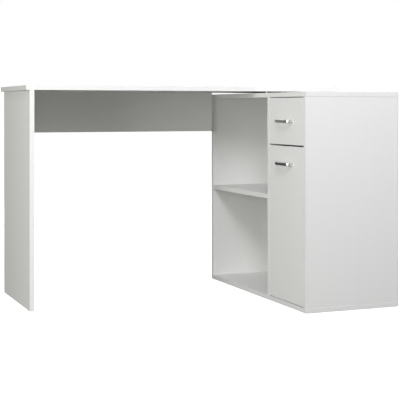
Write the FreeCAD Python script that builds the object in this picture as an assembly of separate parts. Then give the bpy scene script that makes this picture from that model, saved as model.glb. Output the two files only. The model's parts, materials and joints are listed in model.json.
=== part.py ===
"""Corner desk with a swivelling storage cabinet, one STEP file per piece.

Frame: +X along the desktop, +Y from the sitting side to the back, +Z up. The origin is on the floor
below the middle of the desk's outline. Units are millimetres.
"""
import FreeCAD, Part
import math
import os

Vector = FreeCAD.Vector
EAST = Vector(1, 0, 0)
WEST = Vector(-1, 0, 0)
NORTH = Vector(0, 1, 0)
SOUTH = Vector(0, -1, 0)
UP = Vector(0, 0, 1)
DOWN = Vector(0, 0, -1)

# ---------------------------------------------------------------- driving dimensions
BOARD = 16.0                 # thickness of every melamine board
DRAWER_BOARD = 12.0          # thickness of the drawer's sides and back
THIN_PANEL = 3.0             # cabinet back and drawer bottom
ARRIS = 0.8                  # rounding along the melamine boards' edges
GLIDE_HEIGHT = 2.0           # nail-on floor glides

DESK_HEIGHT = 750.0
DESKTOP_LENGTH = 1170.0
DESKTOP_DEPTH = 410.0
LEFT_OVERHANG = 12.0         # desktop beyond the left panel's outer face
MODESTY_HEIGHT = 150.0

CABINET_LENGTH = 803.0
CABINET_WIDTH = 352.0        # front face to back face
CABINET_TOP = 727.5
CABINET_PROJECTION = 373.0   # cabinet's near end in front of the desktop's front edge
CABINET_BEYOND_END = 22.0    # cabinet's back face beyond the desktop's right end
END_RECESS = 0.7             # end panels behind the ends of the top and bottom boards
CUPBOARD_WIDTH = 258.3       # clear width of the drawer and door bay
SHELF_TOP = 372.0

FRONT_REVEAL = 2.5           # gap round the inset fronts
FRONT_GAP = 5.0              # gap between the drawer front and the door
DRAWER_FRONT_HEIGHT = 159.0

PIVOT_FROM_FACE = 270.0      # pivot bolt behind the cabinet's front face
PIVOT_FROM_FAR_END = 82.0    # pivot bolt before the cabinet's far end
PIVOT_BOLT_RADIUS = 4.0
BUSHING_RADIUS = 6.0
SWING_CLEARANCE = 14.0       # modesty panel's end before the cabinet's face

DRAWER_SIDE_CLEARANCE = 13.0
DRAWER_BOX_DEPTH = 300.0
DRAWER_BOX_HEIGHT = 110.0
DRAWER_BOX_LIFT = 12.0       # box sides' lower edge above the front's lower edge
RUNNER_SHEET = 1.2
CHANNEL_HEIGHT = 18.0        # inside height of the cabinet-side runner

HANDLE_SPACING = 96.0
HANDLE_PROJECTION = 24.0
DOOR_HANDLE_DROP = 60.0      # door handle below the door's top edge

RUNNING_CLEARANCE = 0.05     # radial, shaft in bushing or roller

# where the fixings sit
CAM_SETBACK = 34.0           # cam centre from the board's edge
PANEL_CAM_INSETS = (50.0, 70.0)        # left panel's cams, from the desktop's front and back edges
PANEL_DOWEL_INSETS = (110.0, 130.0)
MODESTY_CAM_INSETS = (130.0, 60.0)     # modesty panel's upper cams, from its left and right ends
MODESTY_DOWEL_INSETS = (70.0, 110.0)
SIDE_CAM_INSET = 30.0                  # modesty panel's side cams, from its lower and upper edges
GLIDE_INSET = 25.0                     # floor glides, from the ends of their boards
CABINET_FIXING_INSETS = (50.0, 300.0)  # confirmat screws, behind the cabinet's front face
DOWEL_OFFSET = 45.0                    # cabinet's dowels, from the confirmat screws
SHELF_PIN_INSET = 37.0

# ---------------------------------------------------------------- planes that the boards share
DESK_LEFT = -(DESKTOP_LENGTH + CABINET_BEYOND_END) / 2
DESK_RIGHT = DESK_LEFT + DESKTOP_LENGTH
PANEL_OUTER = DESK_LEFT + LEFT_OVERHANG
PANEL_INNER = PANEL_OUTER + BOARD

FACE = DESK_RIGHT + CABINET_BEYOND_END - CABINET_WIDTH
REAR = FACE + CABINET_WIDTH
BOARD_REAR = REAR - THIN_PANEL
FRONT_INNER = FACE + BOARD

NEAR_END = -CABINET_LENGTH / 2
FAR_END = CABINET_LENGTH / 2
BAY_NEAR = NEAR_END + END_RECESS + BOARD
BAY_FAR = BAY_NEAR + CUPBOARD_WIDTH
OPEN_NEAR = BAY_FAR + BOARD
OPEN_FAR = FAR_END - END_RECESS - BOARD

DESK_FRONT = NEAR_END + CABINET_PROJECTION
DESK_BACK = DESK_FRONT + DESKTOP_DEPTH
MODESTY_FRONT = DESK_BACK - BOARD
MODESTY_END = FACE - SWING_CLEARANCE

DESK_UNDER = DESK_HEIGHT - BOARD
MODESTY_BOTTOM = DESK_UNDER - MODESTY_HEIGHT
TOP_UNDER = CABINET_TOP - BOARD
FLOOR_BOARD_TOP = GLIDE_HEIGHT + BOARD
SHELF_UNDER = SHELF_TOP - BOARD

PIVOT_X = FACE + PIVOT_FROM_FACE
PIVOT_Y = FAR_END - PIVOT_FROM_FAR_END

FRONT_NEAR = BAY_NEAR + FRONT_REVEAL
FRONT_FAR = BAY_FAR - FRONT_REVEAL
FRONT_MIDDLE = (FRONT_NEAR + FRONT_FAR) / 2
DRAWER_FRONT_TOP = TOP_UNDER - FRONT_REVEAL
DRAWER_FRONT_BOTTOM = DRAWER_FRONT_TOP - DRAWER_FRONT_HEIGHT
DOOR_TOP = DRAWER_FRONT_BOTTOM - FRONT_GAP
DOOR_BOTTOM = FLOOR_BOARD_TOP + FRONT_REVEAL
DRAWER_HANDLE_Z = DRAWER_FRONT_BOTTOM + DRAWER_FRONT_HEIGHT / 2
DOOR_HANDLE_Z = DOOR_TOP - DOOR_HANDLE_DROP

BOX_BOTTOM = DRAWER_FRONT_BOTTOM + DRAWER_BOX_LIFT
BOX_TOP = BOX_BOTTOM + DRAWER_BOX_HEIGHT
BOX_REAR = FRONT_INNER + DRAWER_BOX_DEPTH
BOX_NEAR = BAY_NEAR + DRAWER_SIDE_CLEARANCE
BOX_FAR = BAY_FAR - DRAWER_SIDE_CLEARANCE
DRAWER_BOTTOM_Z = BOX_BOTTOM + 11.0

UPRIGHTS = [(BAY_NEAR - BOARD, BAY_NEAR), (BAY_FAR, OPEN_NEAR), (OPEN_FAR, OPEN_FAR + BOARD)]
FRONT_FIXING_X, REAR_FIXING_X = [FACE + inset for inset in CABINET_FIXING_INSETS]
FIXING_ROWS_X = [FRONT_FIXING_X, REAR_FIXING_X]

# glide studs, placed so that at least two are over the cabinet's top at every angle of its swing
STUDS = [(FACE + 40.5, DESK_FRONT + 10.0), (DESK_RIGHT - 18.0, DESK_FRONT + 56.0),
         (FACE + 217.0, DESK_FRONT + 120.0), (DESK_RIGHT - 13.0, DESK_FRONT + 120.0)]


# ---------------------------------------------------------------- basic shapes
def block(x, y, z):
    """Box given by its (low, high) pair along each axis."""
    return Part.makeBox(x[1] - x[0], y[1] - y[0], z[1] - z[0], Vector(x[0], y[0], z[0]))


def board(x, y, z):
    """Melamine board: a box with its edges eased."""
    solid = block(x, y, z)
    return solid.makeFillet(ARRIS, solid.Edges)


def rod(radius, start, direction, length):
    return Part.makeCylinder(radius, length, start, direction)


def cone(start_radius, end_radius, start, direction, length):
    return Part.makeCone(start_radius, end_radius, length, start, direction)


def prism(points, direction):
    """Flat closed outline swept along a vector."""
    outline = Part.makePolygon(points + points[:1])
    return Part.Face(outline).extrude(direction)


def fit(solid, *hardware):
    """The solid with a close seat cut for every piece that sits in it."""
    for piece in hardware:
        solid = solid.cut(piece)
    return solid.Solids[0]


def group(solids):
    return Part.makeCompound(solids)


def inset(span, distances):
    """Two places inside a span, each its own distance from its end."""
    return span[0] + distances[0], span[1] - distances[1]


def cross_recess(centre, direction, size=2.2, width=0.8, depth=1.2):
    """Screwdriver cross cut into a head, from its face inwards."""
    first = EAST if abs(direction.z) > 0.5 else UP
    second = direction.cross(first)
    bars = []
    for along, other in ((first, second), (second, first)):
        corner = centre - along * size - other * (width / 2)
        outline = [corner, corner + along * 2 * size,
                   corner + along * 2 * size + other * width, corner + other * width]
        bars.append(prism(outline, direction * depth))
    return bars[0].fuse(bars[1])


# ---------------------------------------------------------------- fasteners
def pan_screw(seat, direction, length, shank=1.75, head=3.6, head_height=1.8):
    """Screw whose head stands on the seat and whose shank goes along direction."""
    head_face = seat - direction * head_height
    solid = rod(head, head_face, direction, head_height).fuse(rod(shank, seat, direction, length))
    return solid.cut(cross_recess(head_face, direction)).Solids[0]


def flush_screw(surface, direction, length, shank=1.75, head=3.6):
    """Countersunk screw with its head level with the surface."""
    head_height = head - shank
    solid = cone(head, shank, surface, direction, head_height).fuse(rod(shank, surface, direction, length))
    return solid.cut(cross_recess(surface, direction)).Solids[0]


def confirmat(surface, direction, cap_depth=1.0, head=5.0, head_height=4.0, shank=3.0, length=48.0):
    """One-piece chipboard screw, its head sunk below the surface by the cover cap's thickness."""
    seat = surface + direction * cap_depth
    solid = rod(head, seat, direction, head_height).fuse(rod(shank, seat, direction, length))
    return solid.Solids[0]


def confirmat_cap(surface, direction, cap_depth=1.0, head=5.0):
    return rod(head, surface, direction, cap_depth)


def dowel(joint, into_edge, radius=4.0, face_depth=10.0, edge_depth=20.0):
    """Wooden dowel across a joint: a shallow end in the board's face, a long end in the edge."""
    return rod(radius, joint - into_edge * face_depth, into_edge, face_depth + edge_depth)


def cam_joint(mouth, inward, towards_mate, thickness, radius=7.5, bolt_radius=3.5, bolt_grip=11.0):
    """Cam housing let into a board's face, and the bolt from it into the mating board."""
    bolt_start = mouth + inward * (thickness / 2)
    bolt = rod(bolt_radius, bolt_start, towards_mate, CAM_SETBACK + bolt_grip)
    housing = rod(radius, mouth, inward, thickness - 3.0)
    housing = housing.cut(cross_recess(mouth, inward, size=4.0, width=1.6, depth=2.0))
    return housing.cut(bolt).Solids[0], bolt


def floor_glide(x, y, radius):
    """Plastic disc below a board, on the nail that holds it."""
    nail_length = 9.0
    disc = rod(radius, Vector(x, y, 0), UP, GLIDE_HEIGHT)
    rim = min(disc.Edges, key=lambda edge: edge.CenterOfMass.z)
    disc = disc.makeChamfer(0.6, [rim])
    return disc.fuse(rod(1.2, Vector(x, y, GLIDE_HEIGHT), UP, nail_length)).Solids[0]


# ---------------------------------------------------------------- desk frame
def desk_frame():
    """Desktop, left panel, modesty panel and what joins them."""
    desktop = board((DESK_LEFT, DESK_RIGHT), (DESK_FRONT, DESK_BACK), (DESK_UNDER, DESK_HEIGHT))
    left_panel = board((PANEL_OUTER, PANEL_INNER), (DESK_FRONT, DESK_BACK), (GLIDE_HEIGHT, DESK_UNDER))
    modesty = board((PANEL_INNER, MODESTY_END), (MODESTY_FRONT, DESK_BACK), (MODESTY_BOTTOM, DESK_UNDER))

    panel_middle = PANEL_OUTER + BOARD / 2
    modesty_middle = MODESTY_FRONT + BOARD / 2
    cam_height = DESK_UNDER - CAM_SETBACK

    panel_cams = [cam_joint(Vector(PANEL_INNER, y, cam_height), WEST, UP, BOARD)
                  for y in inset((DESK_FRONT, DESK_BACK), PANEL_CAM_INSETS)]
    cam_left, cam_right = inset((PANEL_INNER, MODESTY_END), MODESTY_CAM_INSETS)
    top_cams = [cam_joint(Vector(x, DESK_BACK, cam_height), SOUTH, UP, BOARD)
                for x in (cam_left, (PANEL_INNER + MODESTY_END) / 2, cam_right)]
    side_cams = [cam_joint(Vector(PANEL_INNER + CAM_SETBACK, DESK_BACK, z), SOUTH, WEST, BOARD)
                 for z in inset((MODESTY_BOTTOM, DESK_UNDER), (SIDE_CAM_INSET, SIDE_CAM_INSET))]
    panel_dowels = [dowel(Vector(panel_middle, y, DESK_UNDER), DOWN)
                    for y in inset((DESK_FRONT, DESK_BACK), PANEL_DOWEL_INSETS)]
    modesty_dowels = [dowel(Vector(x, modesty_middle, DESK_UNDER), DOWN)
                      for x in inset((PANEL_INNER, MODESTY_END), MODESTY_DOWEL_INSETS)]
    side_dowels = [dowel(Vector(PANEL_INNER, modesty_middle, (MODESTY_BOTTOM + DESK_UNDER) / 2), EAST)]

    cams = panel_cams + top_cams + side_cams
    housings = [housing for housing, bolt in cams]
    bolts = [bolt for housing, bolt in cams]
    dowels = panel_dowels + modesty_dowels + side_dowels
    glides = [floor_glide(panel_middle, y, BOARD / 2 - 1.0)
              for y in inset((DESK_FRONT, DESK_BACK), (GLIDE_INSET, GLIDE_INSET))]
    studs = [glide_stud(x, y) for x, y in STUDS]
    pivot = pivot_set()

    desktop = fit(desktop, *bolts, *dowels, *studs, pivot["pivot_bolt"], pivot["pivot_plate_screws"])
    left_panel = fit(left_panel, *housings, *bolts, *dowels, *glides)
    modesty = fit(modesty, *housings, *bolts, *dowels)
    return {
        "desktop": desktop,
        "left_panel": left_panel,
        "modesty_panel": modesty,
        "frame_cam_housings": group(housings),
        "frame_cam_bolts": group(bolts),
        "frame_dowels": group(dowels),
        "desktop_glide_studs": group(studs),
        "left_panel_floor_glides": group(glides),
        **pivot,
    }


def glide_stud(x, y, radius=2.5, plug_depth=8.0, clearance=0.3):
    """White plastic stud in the desktop's underside, ending just above the cabinet's top."""
    tip = CABINET_TOP + clearance
    stud = rod(radius, Vector(x, y, tip), UP, DESK_UNDER + plug_depth - tip)
    rim = min(stud.Edges, key=lambda edge: edge.CenterOfMass.z)
    return stud.makeChamfer(0.5, [rim]).Solids[0]


def pivot_set():
    """Bolt that carries the cabinet's top board, from the plate screwed under the desktop to its nut."""
    plate_half = 38.0
    plate_thickness = 2.5
    head_radius = 9.0
    head_height = 4.0
    thrust_radius = 20.0
    washer_radius = 11.0
    washer_gap = 0.2
    washer_thickness = 2.0
    nut_height = 8.0
    nut_corner_radius = 7.5
    bolt_tail = 3.0
    corner_rounding = 8.0
    screw_inset = 10.0
    screw_length = 13.0

    plate_under = DESK_UNDER - plate_thickness
    washer_top = TOP_UNDER - washer_gap
    washer_under = washer_top - washer_thickness
    nut_under = washer_under - nut_height

    centre = Vector(PIVOT_X, PIVOT_Y, 0)
    plate = block((PIVOT_X - plate_half, PIVOT_X + plate_half), (PIVOT_Y - plate_half, PIVOT_Y + plate_half),
                  (plate_under, DESK_UNDER))
    corners = [edge for edge in plate.Edges if abs(edge.Length - plate_thickness) < 0.01]
    plate = plate.makeFillet(corner_rounding, corners)
    screw_offset = plate_half - screw_inset
    screws = [flush_screw(Vector(PIVOT_X + x, PIVOT_Y + y, plate_under), UP, screw_length)
              for x in (-screw_offset, screw_offset) for y in (-screw_offset, screw_offset)]
    tail_end = nut_under - bolt_tail
    bolt = rod(PIVOT_BOLT_RADIUS, centre + UP * tail_end, UP, DESK_UNDER - tail_end)
    bolt = bolt.fuse(rod(head_radius, centre + UP * DESK_UNDER, UP, head_height)).Solids[0]

    thrust_under = CABINET_TOP + washer_gap
    thrust = rod(thrust_radius, centre + UP * thrust_under, UP, plate_under - thrust_under)
    washer = rod(washer_radius, centre + UP * washer_under, UP, washer_thickness)
    hexagon = [centre + Vector(nut_corner_radius * math.cos(math.radians(60 * corner)),
                               nut_corner_radius * math.sin(math.radians(60 * corner)), nut_under)
               for corner in range(6)]
    nut = prism(hexagon, UP * nut_height)
    return {
        "pivot_plate": fit(plate, bolt, *screws),
        "pivot_plate_screws": group(screws),
        "pivot_bolt": bolt,
        "thrust_washer": fit(thrust, bolt),
        "pivot_lower_washer": fit(washer, bolt),
        "pivot_lock_nut": fit(nut, bolt),
    }


# ---------------------------------------------------------------- cabinet
def cabinet():
    """Carcase, shelf, back and floor glides, with the seats for runners and hinges."""
    along = (NEAR_END, FAR_END)
    depth = (FACE, BOARD_REAR)
    upright_height = (FLOOR_BOARD_TOP, TOP_UNDER)
    top = board(depth, along, (TOP_UNDER, CABINET_TOP))
    bottom = board(depth, along, (GLIDE_HEIGHT, FLOOR_BOARD_TOP))
    near_panel, divider, far_panel = [board(depth, upright, upright_height) for upright in UPRIGHTS]
    middles = [(low + high) / 2 for low, high in UPRIGHTS]

    top_screws = [confirmat(Vector(x, y, CABINET_TOP), DOWN) for y in middles for x in FIXING_ROWS_X]
    caps = [confirmat_cap(Vector(x, y, CABINET_TOP), DOWN) for y in middles for x in FIXING_ROWS_X]
    bottom_screws = [confirmat(Vector(x, y, GLIDE_HEIGHT), UP, cap_depth=0.0)
                     for y in middles for x in FIXING_ROWS_X]
    dowel_rows = inset(FIXING_ROWS_X, (DOWEL_OFFSET, DOWEL_OFFSET))
    dowels = [dowel(Vector(x, y, TOP_UNDER), DOWN) for y in middles for x in dowel_rows]
    dowels += [dowel(Vector(x, y, FLOOR_BOARD_TOP), UP) for y in middles for x in dowel_rows]
    glide_radius = 9.0
    near_glide, far_glide = inset(along, (GLIDE_INSET, GLIDE_INSET))
    glides = [floor_glide(x, y, glide_radius) for x in inset(depth, (GLIDE_INSET, GLIDE_INSET))
              for y in (near_glide, middles[1] + GLIDE_INSET, far_glide)]

    shelf, pins = shelf_and_pins()
    back, nails = back_and_nails(middles)
    bushing_outer = rod(BUSHING_RADIUS, Vector(PIVOT_X, PIVOT_Y, TOP_UNDER), UP, BOARD)
    bushing_bore = rod(PIVOT_BOLT_RADIUS + RUNNING_CLEARANCE, Vector(PIVOT_X, PIVOT_Y, TOP_UNDER), UP, BOARD)
    fittings = {**cabinet_runners(), **hinge_arms()}

    joinery = top_screws + caps + bottom_screws + dowels
    side_screws = [fittings["cabinet_runner_screws"], fittings["hinge_plate_screws"]]
    return {
        "cabinet_top": fit(top, *joinery, bushing_outer),
        "cabinet_bottom": fit(bottom, *joinery, *glides),
        "near_end_panel": fit(near_panel, *joinery, *nails, *side_screws),
        "divider_panel": fit(divider, *joinery, *nails, *pins, *side_screws),
        "far_end_panel": fit(far_panel, *joinery, *nails, *pins),
        "back_panel": fit(back, *nails),
        "back_panel_nails": group(nails),
        "shelf": fit(shelf, *pins),
        "shelf_pins": group(pins),
        "cabinet_top_screws": group(top_screws),
        "cabinet_top_screw_caps": group(caps),
        "cabinet_bottom_screws": group(bottom_screws),
        "cabinet_dowels": group(dowels),
        "cabinet_floor_glides": group(glides),
        "pivot_bushing": bushing_outer.cut(bushing_bore),
        **fittings,
    }


def shelf_and_pins(side_gap=0.5, rear_gap=1.0, radius=2.5, collar=3.5, plug_depth=9.0, reach=8.0):
    """Shelf of the open bays, lying on four pins plugged into the divider and the far end panel."""
    shelf = board((FACE, BOARD_REAR - rear_gap), (OPEN_NEAR + side_gap, OPEN_FAR - side_gap),
                  (SHELF_UNDER, SHELF_TOP))
    pins = []
    for wall, inward in ((OPEN_NEAR, NORTH), (OPEN_FAR, SOUTH)):
        for x in inset((FACE, BOARD_REAR), (SHELF_PIN_INSET, SHELF_PIN_INSET)):
            mouth = Vector(x, wall, SHELF_UNDER - collar)
            plug = rod(radius, mouth - inward * plug_depth, inward, plug_depth)
            pins.append(plug.fuse(rod(collar, mouth, inward, reach)).Solids[0])
    return shelf, pins


def back_and_nails(middles, margin=1.0, nail=0.7, head=1.6, length=20.0, end_gap=30.0, rows=6):
    """Thin back panel on the rear edges of the uprights, and its nails, heads level with the panel."""
    back = block((BOARD_REAR, REAR), (NEAR_END + margin, FAR_END - margin),
                 (GLIDE_HEIGHT + margin, CABINET_TOP - margin))
    low, high = inset((FLOOR_BOARD_TOP, TOP_UNDER), (end_gap, end_gap))
    pitch = (high - low) / (rows - 1)
    nails = []
    for y in middles:
        for row in range(rows):
            start = Vector(REAR, y, low + row * pitch)
            nail_head = cone(head, nail, start, WEST, 0.6)
            nails.append(nail_head.fuse(rod(nail, start, WEST, length)).Solids[0])
    return back, nails


# ---------------------------------------------------------------- drawer runners
FRONT_ROLLER_RADIUS = 7.5
REAR_ROLLER_RADIUS = 8.6
ROLLER_BORE = 2.0 + RUNNING_CLEARANCE
RIVET_RADIUS = 2.0
RIVET_HEAD_RADIUS = 3.4
FRONT_RIVET_LENGTH = 10.4
ROLLER_FLOOR_GAP = 0.3
RUNNER_SCREW_HEAD = 3.4
RUNNER_SCREW_LENGTH = 12.0
CABINET_RUNNER_SCREWS_X = (FACE + 62.0, FACE + 160.0, BOX_REAR - 24.0)
DRAWER_RUNNER_SCREWS_X = (FRONT_INNER + 40.0, FRONT_INNER + 150.0, BOX_REAR - 40.0)
FRONT_ROLLER_X = FACE + 30.0
REAR_ROLLER_X = BOX_REAR - 10.0
CHANNEL_TOP = BOX_BOTTOM + CHANNEL_HEIGHT
RUNNER_FLANGE_TOP = CHANNEL_TOP - 0.7
FRONT_ROLLER_Z = RUNNER_FLANGE_TOP - RUNNER_SHEET - ROLLER_FLOOR_GAP - FRONT_ROLLER_RADIUS
REAR_ROLLER_Z = BOX_BOTTOM + ROLLER_FLOOR_GAP + REAR_ROLLER_RADIUS
RUNNER_SIDES = ((BAY_NEAR, NORTH), (BAY_FAR, SOUTH))


def slab_y(wall, inward, start, end):
    """(low, high) pair in Y of a slab between two distances from a bay wall."""
    return tuple(sorted((wall + inward.y * start, wall + inward.y * end)))


def roller(wall, inward, x, z, radius, start=2.9, end=10.2):
    """Nylon runner wheel with rounded rims, bored for its rivet."""
    solid = rod(radius, Vector(x, wall + inward.y * start, z), inward, end - start)
    solid = solid.makeFillet(0.8, [edge for edge in solid.Edges if edge.isClosed()])
    bore = rod(ROLLER_BORE, Vector(x, wall, z), inward, end + 1.0)
    return solid.cut(bore).Solids[0]


def cabinet_runners():
    """Channel on each wall of the drawer bay, with its screws and the rivet of its front roller."""
    nodes = {}
    screws = []
    rivets = []
    x_range = (FRONT_INNER + 4.0, BOX_REAR + 2.0)
    flange_reach = 10.5
    for side, (wall, inward) in zip(("near", "far"), RUNNER_SIDES):
        web = block(x_range, slab_y(wall, inward, 0, RUNNER_SHEET),
                    (BOX_BOTTOM - RUNNER_SHEET, CHANNEL_TOP + RUNNER_SHEET))
        for z in (BOX_BOTTOM - RUNNER_SHEET, CHANNEL_TOP):
            web = web.fuse(block(x_range, slab_y(wall, inward, 0, flange_reach), (z, z + RUNNER_SHEET)))
        rivet_start = Vector(FRONT_ROLLER_X, wall, FRONT_ROLLER_Z)
        rivet = rod(RIVET_RADIUS, rivet_start, inward, FRONT_RIVET_LENGTH)
        rivet_head = rod(RIVET_HEAD_RADIUS, rivet_start + inward * FRONT_RIVET_LENGTH, inward, 0.6)
        rivets.append(rivet.fuse(rivet_head).Solids[0])
        side_screws = [pan_screw(Vector(x, wall + inward.y * RUNNER_SHEET, BOX_BOTTOM + CHANNEL_HEIGHT / 2),
                                 inward * -1, RUNNER_SCREW_LENGTH, head=RUNNER_SCREW_HEAD, head_height=0.6)
                       for x in CABINET_RUNNER_SCREWS_X]
        screws += side_screws
        nodes["cabinet_runner_" + side] = fit(web.removeSplitter(), rivets[-1], *side_screws)
    nodes["cabinet_runner_screws"] = group(screws)
    nodes["front_roller_rivets"] = group(rivets)
    return nodes


def front_rollers():
    return {"front_rollers": group([roller(wall, inward, FRONT_ROLLER_X, FRONT_ROLLER_Z, FRONT_ROLLER_RADIUS)
                                    for wall, inward in RUNNER_SIDES])}


def rear_rollers():
    return {"rear_rollers": group([roller(wall, inward, REAR_ROLLER_X, REAR_ROLLER_Z, REAR_ROLLER_RADIUS)
                                   for wall, inward in RUNNER_SIDES])}


def drawer_runners():
    """Angle under each drawer side, its flange over the front roller, and the rear roller's rivet."""
    nodes = {}
    screws = []
    rivets = []
    side_face = DRAWER_SIDE_CLEARANCE
    web_face = side_face - RUNNER_SHEET
    flange_edge = 2.9
    rivet_tip = 2.2
    x_range = (FRONT_INNER + 2.0, BOX_REAR)
    flange_x = (FRONT_INNER + 2.0, REAR_ROLLER_X - REAR_ROLLER_RADIUS - 1.4)
    under = BOX_BOTTOM - RUNNER_SHEET
    for side, (wall, inward) in zip(("near", "far"), RUNNER_SIDES):
        web = block(x_range, slab_y(wall, inward, web_face, side_face), (under, RUNNER_FLANGE_TOP))
        ledge = block(x_range, slab_y(wall, inward, web_face, side_face + DRAWER_BOARD), (under, BOX_BOTTOM))
        flange = block(flange_x, slab_y(wall, inward, flange_edge, side_face),
                       (RUNNER_FLANGE_TOP - RUNNER_SHEET, RUNNER_FLANGE_TOP))
        angle = web.fuse([ledge, flange]).removeSplitter()
        rivet_start = Vector(REAR_ROLLER_X, wall + inward.y * side_face, REAR_ROLLER_Z)
        rivet = rod(RIVET_RADIUS, rivet_start, inward * -1, side_face - rivet_tip)
        rivet_end = rivet_start - inward * (side_face - rivet_tip)
        rivet_head = rod(RIVET_HEAD_RADIUS, rivet_end, inward, 0.5)
        rivets.append(rivet.fuse(rivet_head).Solids[0])
        screw_y = wall + inward.y * (side_face + DRAWER_BOARD / 2)
        side_screws = [pan_screw(Vector(x, screw_y, under), UP, RUNNER_SCREW_LENGTH,
                                 head=RUNNER_SCREW_HEAD, head_height=0.9) for x in DRAWER_RUNNER_SCREWS_X]
        screws += side_screws
        nodes["drawer_runner_" + side] = fit(angle, rivets[-1], *side_screws)
    nodes["drawer_runner_screws"] = group(screws)
    nodes["rear_roller_rivets"] = group(rivets)
    return nodes


# ---------------------------------------------------------------- drawer
def drawer():
    """Drawer front, box and bottom, joined with cams at the front and screws at the back."""
    front = board((FACE, FRONT_INNER), (FRONT_NEAR, FRONT_FAR), (DRAWER_FRONT_BOTTOM, DRAWER_FRONT_TOP))
    box_depth = (FRONT_INNER, BOX_REAR)
    box_height = (BOX_BOTTOM, BOX_TOP)
    inner_near = BOX_NEAR + DRAWER_BOARD
    inner_far = BOX_FAR - DRAWER_BOARD
    groove = 5.0
    near_side = board(box_depth, (BOX_NEAR, inner_near), box_height)
    far_side = board(box_depth, (inner_far, BOX_FAR), box_height)
    back_front = BOX_REAR - DRAWER_BOARD
    bottom_top = DRAWER_BOTTOM_Z + THIN_PANEL
    back = board((back_front, BOX_REAR), (inner_near, inner_far), (bottom_top, BOX_TOP))
    bottom = block((FRONT_INNER - groove, BOX_REAR), (inner_near - groove, inner_far + groove),
                   (DRAWER_BOTTOM_Z, bottom_top))

    cam_heights = (BOX_BOTTOM + 32.0, BOX_TOP - 20.0)
    cam_x = FRONT_INNER + CAM_SETBACK
    cams = [cam_joint(Vector(cam_x, face, z), outward, WEST, DRAWER_BOARD)
            for face, outward in ((inner_near, SOUTH), (inner_far, NORTH)) for z in cam_heights]
    housings = [housing for housing, bolt in cams]
    bolts = [bolt for housing, bolt in cams]
    back_screws = [flush_screw(Vector(BOX_REAR - DRAWER_BOARD / 2, face, z), inward, 38.0, shank=2.0, head=4.0)
                   for face, inward in ((BOX_NEAR, NORTH), (BOX_FAR, SOUTH))
                   for z in (BOX_BOTTOM + 40.0, BOX_TOP - 20.0)]
    tack_pitch = (inner_far - inner_near) / 4
    tacks = [rod(0.7, Vector(BOX_REAR - DRAWER_BOARD / 2, inner_near + place * tack_pitch, DRAWER_BOTTOM_Z),
                 UP, 16.0) for place in (1, 2, 3)]
    handle, handle_screws = bow_handle(FRONT_MIDDLE, DRAWER_HANDLE_Z)
    runners = drawer_runners()
    runner_screws = runners["drawer_runner_screws"]
    return {
        "drawer_front": fit(front, bottom, *bolts, *handle_screws),
        "drawer_side_near": fit(near_side, bottom, *housings, *bolts, *back_screws, runner_screws),
        "drawer_side_far": fit(far_side, bottom, *housings, *bolts, *back_screws, runner_screws),
        "drawer_back": fit(back, *back_screws, *tacks),
        "drawer_bottom": fit(bottom, *tacks),
        "drawer_bottom_nails": group(tacks),
        "drawer_back_screws": group(back_screws),
        "drawer_cam_housings": group(housings),
        "drawer_cam_bolts": group(bolts),
        "drawer_handle": fit(handle, *handle_screws),
        "drawer_handle_screws": group(handle_screws),
        **runners,
    }


def rounded_rectangle(centre, first, second, half_first, half_second, radius):
    """Closed outline with round corners, its sides along two unit vectors."""
    edges = []
    corners = [(1, 1), (-1, 1), (-1, -1), (1, -1)]
    diagonal = radius * (1 - 0.5 ** 0.5)
    ends = []
    for a, b in corners:
        corner = centre + first * (a * half_first) + second * (b * half_second)
        on_first = corner - first * (a * radius)
        on_second = corner - second * (b * radius)
        middle = corner - first * (a * diagonal) - second * (b * diagonal)
        start, finish = (on_second, on_first) if a * b > 0 else (on_first, on_second)
        edges.append(Part.Arc(start, middle, finish).toShape())
        ends.append((start, finish))
    for (_, finish), (start, _) in zip(ends, ends[1:] + ends[:1]):
        edges.append(Part.makeLine(finish, start))
    return Part.Wire(Part.__sortEdges__(edges))


def bow_handle(y, z, bar_height=10.0, bar_thickness=5.0, bend=9.0, bow_angle=7.3):
    """Chrome bow handle on two feet, and the machine screws that reach it through the front."""
    foot = HANDLE_SPACING / 2
    turn = math.radians(90.0 - bow_angle)
    shoulder_along = foot - bend + bend * math.cos(turn)
    crown_rise = shoulder_along * math.tan(math.radians(bow_angle / 2))
    crown = HANDLE_PROJECTION - bar_thickness / 2
    shoulder_out = crown - crown_rise
    foot_length = shoulder_out - bend * math.sin(turn)

    def place(along, out):
        return Vector(FACE - out, y + along, z)

    def bend_point(side, angle):
        return place(side * (foot - bend + bend * math.cos(angle)), foot_length + bend * math.sin(angle))

    edges = [
        Part.makeLine(place(-foot, 0), place(-foot, foot_length)),
        Part.Arc(bend_point(-1, 0), bend_point(-1, turn / 2), bend_point(-1, turn)).toShape(),
        Part.Arc(bend_point(-1, turn), place(0, crown), bend_point(1, turn)).toShape(),
        Part.Arc(bend_point(1, turn), bend_point(1, turn / 2), bend_point(1, 0)).toShape(),
        Part.makeLine(place(foot, foot_length), place(foot, 0)),
    ]
    section = rounded_rectangle(place(-foot, 0), UP, NORTH, bar_height / 2, bar_thickness / 2, 1.8)
    bar = Part.Wire(edges).makePipeShell([section], True, False)

    screw_length = BOARD + 8.0
    screws = [pan_screw(Vector(FRONT_INNER, y + end * foot, z), WEST, screw_length,
                        shank=1.9, head=4.0, head_height=2.2) for end in (-1, 1)]
    return bar.Solids[0], screws


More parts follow.
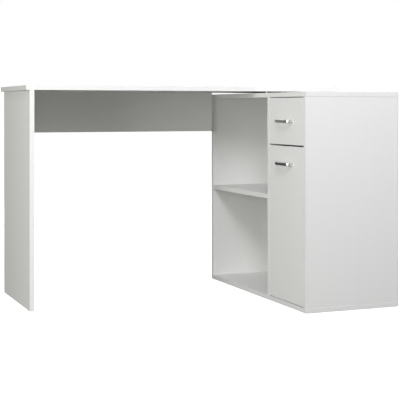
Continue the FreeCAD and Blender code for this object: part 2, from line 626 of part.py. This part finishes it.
# ---------------------------------------------------------------- door and hinges
HINGE_HEIGHTS = (DOOR_BOTTOM + 75.0, DOOR_TOP - 75.0)
CUP_RADIUS = 17.5
CUP_FROM_EDGE = 22.0
CUP_DEPTH = 11.5
CUP_SHEET = 1.0
CUP_Y = FRONT_NEAR + CUP_FROM_EDGE
CUP_SCREW_SPACING = 48.0
FLANGE_Y = (CUP_Y - 12.0, CUP_Y + 17.0)
FLANGE_HALF_HEIGHT = 30.0
LINK_Y = (CUP_Y - 10.0, CUP_Y + 5.0)
LINK_X = (FRONT_INNER - 7.0, FRONT_INNER + 1.4)
LINK_HEIGHT = 11.0
LINK_ROUNDING = 3.5

PLATE_X = FRONT_INNER + 37.0
PLATE_THICKNESS = 2.5
PLATE_HALF_WIDTH = 7.0
PLATE_HALF_HEIGHT = 24.0
PLATE_SCREW_SPACING = 32.0
RAIL_X = (PLATE_X - 17.0, PLATE_X + 25.0)
RAIL_REACH = 9.0
RAIL_HALF_HEIGHT = 5.0
ARM_TOP = 12.5
ARM_HEIGHT = 14.0
# the cranked arm's outline: place in X, and reach from the near end panel's inner face
ARM_OUTLINE = [(FRONT_INNER + 4.0, 28.0), (FRONT_INNER + 4.0, 22.0), (FRONT_INNER + 9.0, 19.0),
               (PLATE_X - 19.0, RAIL_REACH), (PLATE_X + 27.0, RAIL_REACH), (PLATE_X + 27.0, ARM_TOP),
               (PLATE_X - 16.0, ARM_TOP), (FRONT_INNER + 13.0, 24.0), (FRONT_INNER + 9.0, 28.0)]


def door():
    """Door board with its hinge cups and handle."""
    leaf = board((FACE, FRONT_INNER), (FRONT_NEAR, FRONT_FAR), (DOOR_BOTTOM, DOOR_TOP))
    cups = []
    links = []
    cup_screws = []
    seats = []
    for z in HINGE_HEIGHTS:
        mouth = Vector(FRONT_INNER, CUP_Y, z)
        seat = rod(CUP_RADIUS, mouth, WEST, CUP_DEPTH)
        hollow = rod(CUP_RADIUS - CUP_SHEET, mouth + EAST * CUP_SHEET, WEST, CUP_DEPTH)
        flange = block((FRONT_INNER, FRONT_INNER + CUP_SHEET), FLANGE_Y,
                       (z - FLANGE_HALF_HEIGHT, z + FLANGE_HALF_HEIGHT))
        corners = [edge for edge in flange.Edges if abs(edge.Length - CUP_SHEET) < 0.01]
        flange = flange.makeFillet(6.0, corners)
        rim = rod(CUP_RADIUS + 2.0, mouth, EAST, CUP_SHEET)
        screws = [flush_screw(Vector(FRONT_INNER + CUP_SHEET, CUP_Y + 6.0, z + end * CUP_SCREW_SPACING / 2),
                              WEST, 13.0) for end in (-1, 1)]
        cup_screws += screws
        cup = seat.fuse([flange, rim]).cut(hollow)
        cups.append(fit(cup, *screws))
        seats.append(seat)
        link = block(LINK_X, LINK_Y, (z - LINK_HEIGHT / 2, z + LINK_HEIGHT / 2))
        pivots = [edge for edge in link.Edges if abs(edge.Length - LINK_HEIGHT) < 0.01]
        link = link.makeFillet(LINK_ROUNDING, pivots)
        cup_space = rod(CUP_RADIUS - CUP_SHEET, Vector(LINK_X[1], CUP_Y, z), WEST, CUP_DEPTH)
        pin_place = Vector(LINK_X[0] + LINK_ROUNDING, LINK_Y[1] - LINK_ROUNDING, z - CUP_RADIUS)
        pin = rod(1.5, pin_place, UP, 2 * CUP_RADIUS)
        links.append(link.fuse(pin).common(cup_space).Solids[0])
    handle, handle_screws = bow_handle(FRONT_MIDDLE, DOOR_HANDLE_Z)
    return {
        "door": fit(leaf, *seats, *cup_screws, *handle_screws),
        "hinge_cups": group(cups),
        "hinge_links": group(links),
        "hinge_cup_screws": group(cup_screws),
        "door_handle": fit(handle, *handle_screws),
        "door_handle_screws": group(handle_screws),
    }


def hinge_arms():
    """Cranked hinge arms on their mounting plates, on the near end panel's inner face."""
    plates = []
    arms = []
    screws = []
    for z in HINGE_HEIGHTS:
        wing = block((PLATE_X - PLATE_HALF_WIDTH, PLATE_X + PLATE_HALF_WIDTH),
                     (BAY_NEAR, BAY_NEAR + PLATE_THICKNESS), (z - PLATE_HALF_HEIGHT, z + PLATE_HALF_HEIGHT))
        wing_corners = [edge for edge in wing.Edges if abs(edge.Length - PLATE_THICKNESS) < 0.01]
        wing = wing.makeFillet(5.0, wing_corners)
        rail = block(RAIL_X, (BAY_NEAR, BAY_NEAR + RAIL_REACH), (z - RAIL_HALF_HEIGHT, z + RAIL_HALF_HEIGHT))
        plate_screws = [pan_screw(Vector(PLATE_X, BAY_NEAR + PLATE_THICKNESS, z + end * PLATE_SCREW_SPACING / 2),
                                  SOUTH, 12.0) for end in (-1, 1)]
        plates.append(fit(wing.fuse(rail), *plate_screws))
        screws += plate_screws
        arm = prism([Vector(x, BAY_NEAR + reach, z - ARM_HEIGHT / 2) for x, reach in ARM_OUTLINE], UP * ARM_HEIGHT)
        for x in (PLATE_X - 6.0, PLATE_X + 16.0):
            head = Vector(x, BAY_NEAR + ARM_TOP, z)
            adjuster = rod(3.2, head, NORTH, 1.2)
            arm = arm.fuse(adjuster.cut(cross_recess(head + NORTH * 1.2, SOUTH, depth=0.8)))
        arms.append(arm.Solids[0])
    return {
        "hinge_mounting_plates": group(plates),
        "hinge_arms": group(arms),
        "hinge_plate_screws": group(screws),
    }


# ---------------------------------------------------------------- export
def main():
    nodes = {**desk_frame(), **cabinet(), **front_rollers(), **drawer(), **rear_rollers(), **door()}
    os.makedirs("parts", exist_ok=True)
    for name, shape in nodes.items():
        shape.exportStep(os.path.join("parts", name + ".step"))
        print(f"{name:28s} solids {len(shape.Solids):3d}  valid {shape.isValid()}  cm3 {shape.Volume / 1000:9.2f}")
    print(len(nodes), "nodes")


main()
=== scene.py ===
"""Looks of the white corner desk: its materials, and the floor, light and camera round it.

Every length is in metres, in the row's frame: +X along the desktop, +Y to the back, +Z up.
"""
import json
import math

import bmesh
import bpy
from mathutils import Euler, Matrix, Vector


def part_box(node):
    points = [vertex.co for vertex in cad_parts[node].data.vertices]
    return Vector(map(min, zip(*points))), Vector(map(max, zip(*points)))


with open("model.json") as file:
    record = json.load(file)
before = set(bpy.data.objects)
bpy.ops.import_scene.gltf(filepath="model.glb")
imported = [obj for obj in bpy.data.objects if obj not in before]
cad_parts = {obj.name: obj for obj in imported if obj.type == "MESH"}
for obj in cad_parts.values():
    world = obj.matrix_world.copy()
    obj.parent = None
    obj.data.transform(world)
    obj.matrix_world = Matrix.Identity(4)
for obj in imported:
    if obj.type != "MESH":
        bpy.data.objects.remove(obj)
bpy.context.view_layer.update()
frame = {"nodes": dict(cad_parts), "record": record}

AXES = ("X", "Y", "Z")

# ---------------------------------------------------------------- which node wears which material
BOARDS = ["desktop", "left_panel", "modesty_panel", "cabinet_top", "cabinet_bottom", "near_end_panel",
          "divider_panel", "far_end_panel", "shelf", "drawer_front", "drawer_side_near", "drawer_side_far",
          "drawer_back", "door"]
SLOT_OF = {row["node"]: row["material_slot"] for row in frame["record"]["subparts"]}


# ---------------------------------------------------------------- node helpers
class Tree:
    """A material's node tree, with short calls to add and join nodes."""

    def __init__(self, name):
        self.material = bpy.data.materials.new(name)
        self.material.use_nodes = True
        self.tree = self.material.node_tree
        self.tree.nodes.clear()
        self.output = self.tree.nodes.new("ShaderNodeOutputMaterial")
        self.shader = self.tree.nodes.new("ShaderNodeBsdfPrincipled")
        self.join(self.shader.outputs["BSDF"], self.output.inputs["Surface"])
        self.place = self.tree.nodes.new("ShaderNodeTexCoord").outputs["Object"]

    def join(self, source, target):
        self.tree.links.new(source, target)

    def feed(self, value, target):
        """Puts a number, a vector or another node's output into an input."""
        if isinstance(value, bpy.types.NodeSocket):
            self.join(value, target)
        else:
            target.default_value = value

    def math(self, operation, first, second):
        node = self.tree.nodes.new("ShaderNodeMath")
        node.operation = operation
        self.feed(first, node.inputs[0])
        self.feed(second, node.inputs[1])
        return node.outputs[0]

    def vector(self, operation, first, second=(0.0, 0.0, 0.0)):
        node = self.tree.nodes.new("ShaderNodeVectorMath")
        node.operation = operation
        self.feed(first, node.inputs[0])
        self.feed(second, node.inputs[1])
        return node.outputs["Vector"]

    def parts(self, vector):
        node = self.tree.nodes.new("ShaderNodeSeparateXYZ")
        self.join(vector, node.inputs[0])
        return [node.outputs[axis] for axis in AXES]

    def noise(self, stretch, detail=2.0, roughness=0.5):
        """Noise from 0 to 1, with stretch features per metre along each axis."""
        node = self.tree.nodes.new("ShaderNodeTexNoise")
        self.join(self.vector("MULTIPLY", self.place, stretch), node.inputs["Vector"])
        node.inputs["Scale"].default_value = 1.0
        node.inputs["Detail"].default_value = detail
        node.inputs["Roughness"].default_value = roughness
        return node.outputs["Fac"]

    def scale(self, value, low, high, to_low, to_high):
        node = self.tree.nodes.new("ShaderNodeMapRange")
        self.feed(value, node.inputs["Value"])
        for name, number in (("From Min", low), ("From Max", high), ("To Min", to_low), ("To Max", to_high)):
            node.inputs[name].default_value = number
        return node.outputs["Result"]

    def mix(self, factor, first, second):
        """Colour that goes from first to second as factor goes from 0 to 1."""
        node = self.tree.nodes.new("ShaderNodeMix")
        node.data_type = "RGBA"
        self.feed(factor, node.inputs["Factor"])
        self.feed(first, node.inputs["A"])
        self.feed(second, node.inputs["B"])
        return node.outputs["Result"]

    def bump(self, height, distance, strength=1.0, under=None):
        node = self.tree.nodes.new("ShaderNodeBump")
        self.join(height, node.inputs["Height"])
        node.inputs["Distance"].default_value = distance
        node.inputs["Strength"].default_value = strength
        if under:
            self.join(under, node.inputs["Normal"])
        return node.outputs["Normal"]

    def set(self, **values):
        """Feeds the shader's inputs, named with underscores for spaces, and returns the material."""
        for name, value in values.items():
            self.feed(value, self.shader.inputs[name.replace("_", " ")])
        return self.material


def even(scale):
    """The same number of features per metre along all three axes."""
    return (scale, scale, scale)


def shade(colour, factor):
    """A colour made lighter or darker, with full opacity."""
    return tuple(channel * factor for channel in colour[:3]) + (1.0,)


# ---------------------------------------------------------------- board material
FOIL = (0.872, 0.872, 0.868, 1.0)
EDGING = (0.874, 0.874, 0.871, 1.0)
GLUE = (0.62, 0.60, 0.55, 1.0)
SOIL = (0.55, 0.54, 0.51, 1.0)
BAND_THICKNESS = 0.0008
GLUE_LINE = 0.00012
SCUFF_REACH = 0.004          # how far handling marks come in from a board's edge
GRAIN_ALONG = 7.0            # pressed grain, in features per metre
GRAIN_ACROSS = 420.0
STREAK_ALONG = 0.7
STREAK_ACROSS = 60.0


def grained(axis, along, across):
    """Features per metre of a pattern drawn out along one axis."""
    stretch = [across] * 3
    stretch[axis] = along
    return stretch


def board_material(name, low, high):
    """White melamine board: pressed foil on the faces, edging strips with a glue line on the edges."""
    tree = Tree("melamine_" + name)
    size = high - low
    thin = min(range(3), key=lambda axis: size[axis])
    long = max(range(3), key=lambda axis: size[axis])

    from_middle = tree.vector("ABSOLUTE", tree.vector("SUBTRACT", tree.place, tuple((low + high) / 2)))
    to_edge = tree.parts(tree.vector("SUBTRACT", tuple(size / 2), from_middle))
    wide = [to_edge[axis] for axis in range(3) if axis != thin]
    inset = tree.math("MINIMUM", wide[0], wide[1])
    band = tree.math("LESS_THAN", inset, BAND_THICKNESS)
    seam = tree.math("COMPARE", inset, BAND_THICKNESS)
    seam.node.inputs[2].default_value = GLUE_LINE
    near_edge = tree.scale(inset, 0.0, SCUFF_REACH, 1.0, 0.0)

    fine = tree.noise(grained(long, GRAIN_ALONG, GRAIN_ACROSS), detail=3.0, roughness=0.62)
    streaks = tree.noise(grained(long, STREAK_ALONG, STREAK_ACROSS), detail=2.0)
    cloud = tree.noise(even(4.0), detail=2.0)
    peel = tree.noise(even(1100.0), detail=1.0)
    marks = tree.scale(tree.noise(even(90.0), detail=4.0), 0.52, 0.72, 0.0, 1.0)
    scuff = tree.math("MULTIPLY", marks, near_edge)

    foil = tree.mix(streaks, shade(FOIL, 0.972), shade(FOIL, 1.012))
    foil = tree.mix(tree.scale(fine, 0.35, 0.65, 0.0, 0.5), foil, shade(FOIL, 0.978))
    foil = tree.mix(tree.scale(cloud, 0.3, 0.7, 0.0, 0.35), foil, shade(FOIL, 1.01))
    edging = tree.mix(cloud, shade(EDGING, 0.985), EDGING)
    colour = tree.mix(band, foil, edging)
    colour = tree.mix(tree.math("MULTIPLY", seam, 0.45), colour, GLUE)
    colour = tree.mix(tree.math("MULTIPLY", scuff, 0.10), colour, SOIL)

    rough = tree.scale(fine, 0.3, 0.7, 0.40, 0.50)
    rough = tree.math("ADD", rough, tree.math("MULTIPLY", band, -0.08))
    rough = tree.math("ADD", rough, tree.math("MULTIPLY", scuff, 0.10))
    pressed = tree.bump(fine, 0.00006, 0.55)
    normal = tree.bump(peel, 0.00002, 0.30, under=pressed)
    return tree.set(Base_Color=colour, Roughness=rough, Normal=normal)


# ---------------------------------------------------------------- other materials
def hardboard_material():
    """Thin hardboard lacquered white, with the fine pimple of its screen side showing through."""
    tree = Tree("lacquered_hardboard")
    fibre = tree.noise(even(700.0), detail=3.0, roughness=0.7)
    cloud = tree.noise(even(9.0), detail=3.0)
    colour = tree.mix(cloud, (0.80, 0.80, 0.775, 1.0), (0.845, 0.843, 0.82, 1.0))
    colour = tree.mix(tree.scale(fibre, 0.55, 0.75, 0.0, 0.4), colour, (0.76, 0.75, 0.71, 1.0))
    rough = tree.scale(fibre, 0.3, 0.7, 0.52, 0.66)
    return tree.set(Base_Color=colour, Roughness=rough, Normal=tree.bump(fibre, 0.00008, 0.6))


def beech_material():
    """Bare beech: pale brown, with flecks along the dowel."""
    tree = Tree("beech")
    fleck = tree.noise((900.0, 900.0, 90.0), detail=3.0, roughness=0.6)
    colour = tree.mix(fleck, (0.62, 0.43, 0.26, 1.0), (0.78, 0.62, 0.43, 1.0))
    return tree.set(Base_Color=colour, Roughness=tree.scale(fleck, 0.3, 0.7, 0.55, 0.75),
                    Normal=tree.bump(fleck, 0.00005, 0.5))


def zinc_material():
    """Bright zinc plate on pressed steel: grey with a faint warm bloom, and duller in patches."""
    tree = Tree("zinc_plate")
    patch = tree.noise(even(160.0), detail=3.0)
    grit = tree.noise(even(2600.0), detail=2.0)
    colour = tree.mix(patch, (0.56, 0.57, 0.56, 1.0), (0.70, 0.69, 0.66, 1.0))
    rough = tree.scale(patch, 0.3, 0.7, 0.24, 0.42)
    return tree.set(Base_Color=colour, Metallic=1.0, Roughness=rough, Normal=tree.bump(grit, 0.00002, 0.4))


def enamel_material():
    """White powder coat on the drawer runners, with orange peel."""
    tree = Tree("runner_enamel")
    peel = tree.noise(even(800.0), detail=1.0)
    patch = tree.noise(even(30.0), detail=2.0)
    colour = tree.mix(patch, (0.80, 0.80, 0.77, 1.0), (0.86, 0.86, 0.84, 1.0))
    return tree.set(Base_Color=colour, Roughness=tree.scale(peel, 0.3, 0.7, 0.28, 0.40),
                    Normal=tree.bump(peel, 0.00006, 0.6))


def chrome_material():
    """Polished chrome with the faint haze that fingers leave."""
    tree = Tree("handle_chrome")
    haze = tree.noise(even(70.0), detail=4.0, roughness=0.6)
    hairline = tree.noise((1500.0, 60.0, 1500.0), detail=2.0)
    colour = tree.mix(haze, (0.66, 0.67, 0.68, 1.0), (0.74, 0.745, 0.75, 1.0))
    rough = tree.scale(haze, 0.35, 0.70, 0.06, 0.16)
    normal = tree.bump(hairline, 0.000004, 0.3)
    return tree.set(Base_Color=colour, Metallic=1.0, Roughness=rough, Normal=normal)


def plastic_material():
    """Moulded white nylon, slightly mottled."""
    tree = Tree("white_nylon")
    mottle = tree.noise(even(240.0), detail=3.0)
    texture = tree.noise(even(1800.0), detail=1.0)
    colour = tree.mix(mottle, (0.82, 0.82, 0.79, 1.0), (0.88, 0.88, 0.86, 1.0))
    return tree.set(Base_Color=colour, Roughness=tree.scale(texture, 0.3, 0.7, 0.42, 0.56),
                    Normal=tree.bump(texture, 0.00003, 0.5))


def wear(node, material):
    """Gives a CAD node one material in place of the plain one that it came with."""
    for slot in frame["nodes"][node].material_slots:
        slot.material = material


def dress_nodes():
    """Gives each board its own melamine, and every other node its slot's material."""
    shared = {
        "hardboard": hardboard_material(),
        "beech_dowel": beech_material(),
        "zinc_fitting": zinc_material(),
        "runner_enamel": enamel_material(),
        "handle_chrome": chrome_material(),
        "white_plastic": plastic_material(),
    }
    for node in frame["nodes"]:
        if node in BOARDS:
            wear(node, board_material(node, *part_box(node)))
        else:
            wear(node, shared[SLOT_OF[node]])


# ---------------------------------------------------------------- floor
FLOOR_REACH = 60.0
FLOOR_GLOW = 1.0


def floor():
    """Pale studio floor that glows white, so that no shadow shows on it.

    It is unseen by the desk's own reflections and shadows: the dome lights the desk from below through it.
    """
    mesh = bpy.data.meshes.new("studio_floor")
    outline = bmesh.new()
    corners = [outline.verts.new((x * FLOOR_REACH, y * FLOOR_REACH, 0.0))
               for x, y in ((-1, -1), (1, -1), (1, 1), (-1, 1))]
    outline.faces.new(corners)
    outline.to_mesh(mesh)
    outline.free()
    piece = bpy.data.objects.new("studio_floor", mesh)
    bpy.context.scene.collection.objects.link(piece)
    tree = Tree("studio_floor")
    grain = tree.noise(even(35.0), detail=3.0)
    tree.set(Base_Color=tree.mix(grain, (0.93, 0.93, 0.93, 1.0), (0.95, 0.95, 0.95, 1.0)), Roughness=0.9)
    tree.set(Emission_Color=(1.0, 1.0, 1.0, 1.0), Emission_Strength=FLOOR_GLOW)
    tree.material.cycles.emission_sampling = "NONE"
    mesh.materials.append(tree.material)
    piece.visible_diffuse = False
    piece.visible_glossy = False
    piece.visible_shadow = False


# ---------------------------------------------------------------- light
# The dome's front and down, and the first six softboxes' watts and colours, are rounded from a least-squares
# fit to the desk's shading in the photograph. The other values were chosen.
BACKGROUND = (1.0, 1.0, 1.0, 1.0)
DOME = {
    "left": (0.02, 0.02, 0.02),
    "right": (0.05, 0.05, 0.05),
    "front": (0.048, 0.048, 0.036),
    "back": (0.08, 0.08, 0.08),
    "down": (0.138, 0.138, 0.120),
    "up": (0.06, 0.06, 0.06),
}
# name, place, the point it faces, diameter, watts, colour
SOFTBOXES = [
    ("key", (-1.6, -4.0, 2.9), (0.25, 0.0, 0.4), 1.3, 69.3, (0.968, 0.960, 1.0)),
    ("left_fill", (-3.0, -1.5, 0.9), (0.3, 0.1, 0.4), 1.5, 57.5, (0.988, 1.0, 0.946)),
    ("corner_fill", (-1.1, -1.4, 1.6), (0.2, 0.0, 0.6), 1.0, 4.9, (0.995, 0.987, 1.0)),
    ("front_low", (-1.0, -3.0, 0.5), (0.3, 0.1, 0.4), 1.2, 5.2, (0.99, 1.0, 0.955)),
    ("right_fill", (1.6, -2.2, 1.9), (0.4, 0.0, 0.5), 1.8, 29.6, (0.951, 0.948, 1.0)),
    ("overhead", (-0.3, -1.2, 2.2), (0.1, 0.0, 0.3), 1.8, 10.0, (0.980, 0.975, 1.0)),
    ("rear", (1.2, 3.8, 2.6), (0.1, 0.0, 0.4), 2.0, 85.0, (1.0, 1.0, 1.0)),
    ("right_rear", (3.6, 1.2, 1.8), (0.3, 0.1, 0.4), 1.8, 35.0, (1.0, 1.0, 1.0)),
]


def studio_dome():
    """World light that changes smoothly with direction; the camera itself sees a plain white background."""
    world = bpy.data.worlds.new("studio_dome")
    world.use_nodes = True
    tree = world.node_tree
    tree.nodes.clear()

    def node(kind, **settings):
        made = tree.nodes.new(kind)
        for name, value in settings.items():
            setattr(made, name, value)
        return made

    direction = node("ShaderNodeSeparateXYZ")
    tree.links.new(node("ShaderNodeTexCoord").outputs["Generated"], direction.inputs[0])
    total = None
    for axis, sides in (("X", ("left", "right")), ("Y", ("front", "back")), ("Z", ("down", "up"))):
        for sign, side in zip((-1.0, 1.0), sides):
            facing = node("ShaderNodeMath", operation="MULTIPLY", use_clamp=True)
            tree.links.new(direction.outputs[axis], facing.inputs[0])
            facing.inputs[1].default_value = sign
            lobe = node("ShaderNodeVectorMath", operation="MULTIPLY_ADD")
            tree.links.new(facing.outputs[0], lobe.inputs[0])
            lobe.inputs[1].default_value = DOME[side]
            if total:
                tree.links.new(total, lobe.inputs[2])
            total = lobe.outputs["Vector"]
    dome = node("ShaderNodeBackground")
    tree.links.new(total, dome.inputs["Color"])
    plain = node("ShaderNodeBackground")
    plain.inputs["Color"].default_value = BACKGROUND
    choice = node("ShaderNodeMixShader")
    tree.links.new(node("ShaderNodeLightPath").outputs["Is Camera Ray"], choice.inputs[0])
    tree.links.new(dome.outputs[0], choice.inputs[1])
    tree.links.new(plain.outputs[0], choice.inputs[2])
    tree.links.new(choice.outputs[0], node("ShaderNodeOutputWorld").inputs["Surface"])
    bpy.context.scene.world = world


def softbox(name, place, faces, diameter, watts, colour):
    """Round lamp at a place, turned to the point it faces, and not seen by the camera."""
    light = bpy.data.lights.new(name, "AREA")
    light.shape = "DISK"
    light.size = diameter
    light.energy = watts
    light.color = colour
    holder = bpy.data.objects.new(name, light)
    holder.location = place
    holder.rotation_euler = (Vector(faces) - Vector(place)).to_track_quat("-Z", "Y").to_euler()
    holder.visible_camera = False
    bpy.context.scene.collection.objects.link(holder)


# ---------------------------------------------------------------- camera
# The place, yaw, lens and shift are rounded from a least-squares fit to the desk's edges in the photograph.
CAMERA_PLACE = (-1.4044, -3.5751, 0.6725)
CAMERA_YAW = 21.905
CAMERA_LENS = 98.09
SENSOR_WIDTH = 36.0
CAMERA_SHIFT = -0.2287
CAMERA_REACH = 200.0


def camera():
    """Camera at the desk's front left, a little below the desktop, level, with the frame shifted down."""
    data = bpy.data.cameras.new("camera")
    data.lens = CAMERA_LENS
    data.sensor_width = SENSOR_WIDTH
    data.shift_y = CAMERA_SHIFT
    data.clip_end = CAMERA_REACH
    holder = bpy.data.objects.new("camera", data)
    holder.location = CAMERA_PLACE
    holder.rotation_euler = Euler((math.radians(90.0), 0.0, math.radians(-CAMERA_YAW)))
    bpy.context.scene.collection.objects.link(holder)
    bpy.context.scene.camera = holder


bpy.context.scene.view_settings.view_transform = "Standard"
dress_nodes()
floor()
studio_dome()
for row in SOFTBOXES:
    softbox(*row)
camera()
